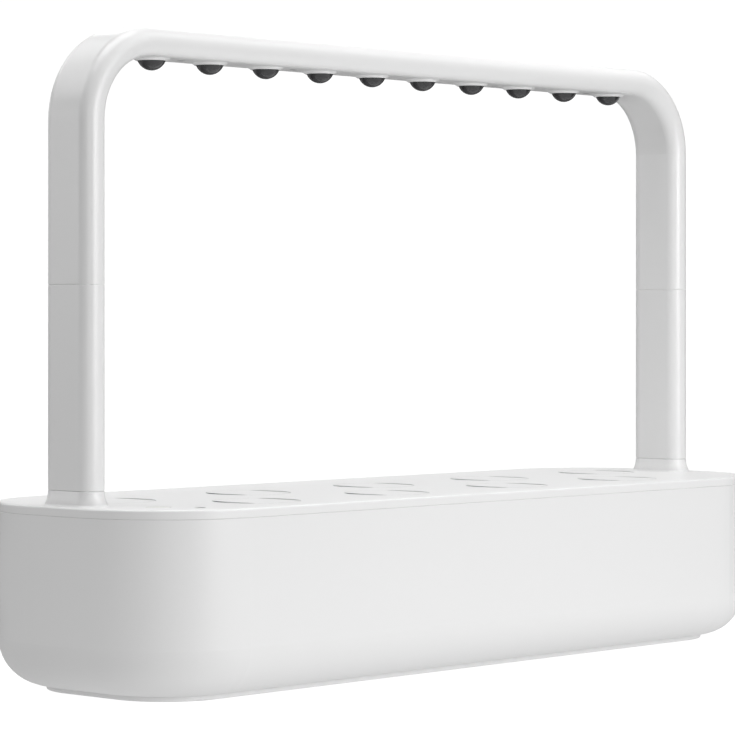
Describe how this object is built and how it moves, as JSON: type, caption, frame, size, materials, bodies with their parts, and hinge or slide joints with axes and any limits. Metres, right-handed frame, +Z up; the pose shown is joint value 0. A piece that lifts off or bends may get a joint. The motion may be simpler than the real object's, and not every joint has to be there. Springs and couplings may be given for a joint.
{
  "type": "countertop hydroponic garden",
  "caption": "Countertop hydroponic garden: a long rounded water tank, a lid with round plant pods, and a lamp arch on plug-in extension arms.",
  "frame": {"origin": "on the ground, under the middle of the tank", "axes": "+X along the length to the viewer's right when seen from the front, +Y from front to back, +Z up"},
  "size_m": [0.6, 0.186, 0.3985],
  "materials": {
    "shell_white": "satin white injection-moulded plastic",
    "pod_white": "thin white moulded plastic",
    "cover_white": "white plastic",
    "growing_medium": "damp fibrous sponge",
    "foot_rubber": "matt grey rubber",
    "float_foam": "closed-cell foam",
    "lens_smoke": "smoky clear plastic, polished",
    "led_yellow": "phosphor-filled resin",
    "board_white": "white solder mask on an aluminium-core board",
    "board_green": "green solder mask",
    "sink_aluminium": "extruded, bare",
    "screw_steel": "zinc plated",
    "inlet_black": "black nylon",
    "lead_black": "black sheath"
  },
  "bodies": {
    "tank": {"water_tank": "shell_white", "rubber_feet": "foot_rubber"},
    "lid": {"lid": "shell_white"},
    "float": {"float_stem": "pod_white", "float_bulb": "float_foam"},
    "pod_1": {"pod_cup_1": "pod_white", "growing_plug_1": "growing_medium", "pod_cover_1": "cover_white"},
    "pod_2": {"pod_cup_2": "pod_white", "growing_plug_2": "growing_medium", "pod_cover_2": "cover_white"},
    "pod_3": {"pod_cup_3": "pod_white", "growing_plug_3": "growing_medium", "pod_cover_3": "cover_white"},
    "pod_4": {"pod_cup_4": "pod_white", "growing_plug_4": "growing_medium", "pod_cover_4": "cover_white"},
    "pod_5": {"pod_cup_5": "pod_white", "growing_plug_5": "growing_medium", "pod_cover_5": "cover_white"},
    "pod_6": {"pod_cup_6": "pod_white", "growing_plug_6": "growing_medium", "pod_cover_6": "cover_white"},
    "pod_7": {"pod_cup_7": "pod_white", "growing_plug_7": "growing_medium", "pod_cover_7": "cover_white"},
    "pod_8": {"pod_cup_8": "pod_white", "growing_plug_8": "growing_medium", "pod_cover_8": "cover_white"},
    "pod_9": {"pod_cup_9": "pod_white", "growing_plug_9": "growing_medium", "pod_cover_9": "cover_white"},
    "extension_arms": {"extension_left": "shell_white", "extension_right": "shell_white"},
    "lamp": {"lamp_arch": "shell_white", "lamp_undercover": "shell_white", "undercover_screws": "screw_steel", "lens_domes": "lens_smoke", "led_emitters": "led_yellow", "led_board": "board_white", "heat_sink": "sink_aluminium", "timer_board": "board_green", "lamp_lead": "lead_black", "dc_inlet": "inlet_black"}
  },
  "joints": [
    {"name": "lid_lift", "type": "slide", "parent": "tank", "child": "lid", "axis": [0, 0, 1], "range_m": [0, 0.12]},
    {"name": "float_rise", "type": "slide", "parent": "lid", "child": "float", "axis": [0, 0, 1], "range_m": [0, 0.025]},
    {"name": "pod_1_lift", "type": "slide", "parent": "lid", "child": "pod_1", "axis": [0, 0, 1], "range_m": [0, 0.105]},
    {"name": "pod_2_lift", "type": "slide", "parent": "lid", "child": "pod_2", "axis": [0, 0, 1], "range_m": [0, 0.105]},
    {"name": "pod_3_lift", "type": "slide", "parent": "lid", "child": "pod_3", "axis": [0, 0, 1], "range_m": [0, 0.105]},
    {"name": "pod_4_lift", "type": "slide", "parent": "lid", "child": "pod_4", "axis": [0, 0, 1], "range_m": [0, 0.105]},
    {"name": "pod_5_lift", "type": "slide", "parent": "lid", "child": "pod_5", "axis": [0, 0, 1], "range_m": [0, 0.105]},
    {"name": "pod_6_lift", "type": "slide", "parent": "lid", "child": "pod_6", "axis": [0, 0, 1], "range_m": [0, 0.105]},
    {"name": "pod_7_lift", "type": "slide", "parent": "lid", "child": "pod_7", "axis": [0, 0, 1], "range_m": [0, 0.105]},
    {"name": "pod_8_lift", "type": "slide", "parent": "lid", "child": "pod_8", "axis": [0, 0, 1], "range_m": [0, 0.105]},
    {"name": "pod_9_lift", "type": "slide", "parent": "lid", "child": "pod_9", "axis": [0, 0, 1], "range_m": [0, 0.105]},
    {"name": "extension_lift", "type": "slide", "parent": "lid", "child": "extension_arms", "axis": [0, 0, 1], "range_m": [0, 0.05]},
    {"name": "lamp_lift", "type": "slide", "parent": "extension_arms", "child": "lamp", "axis": [0, 0, 1], "range_m": [0, 0.05]}
  ]
}
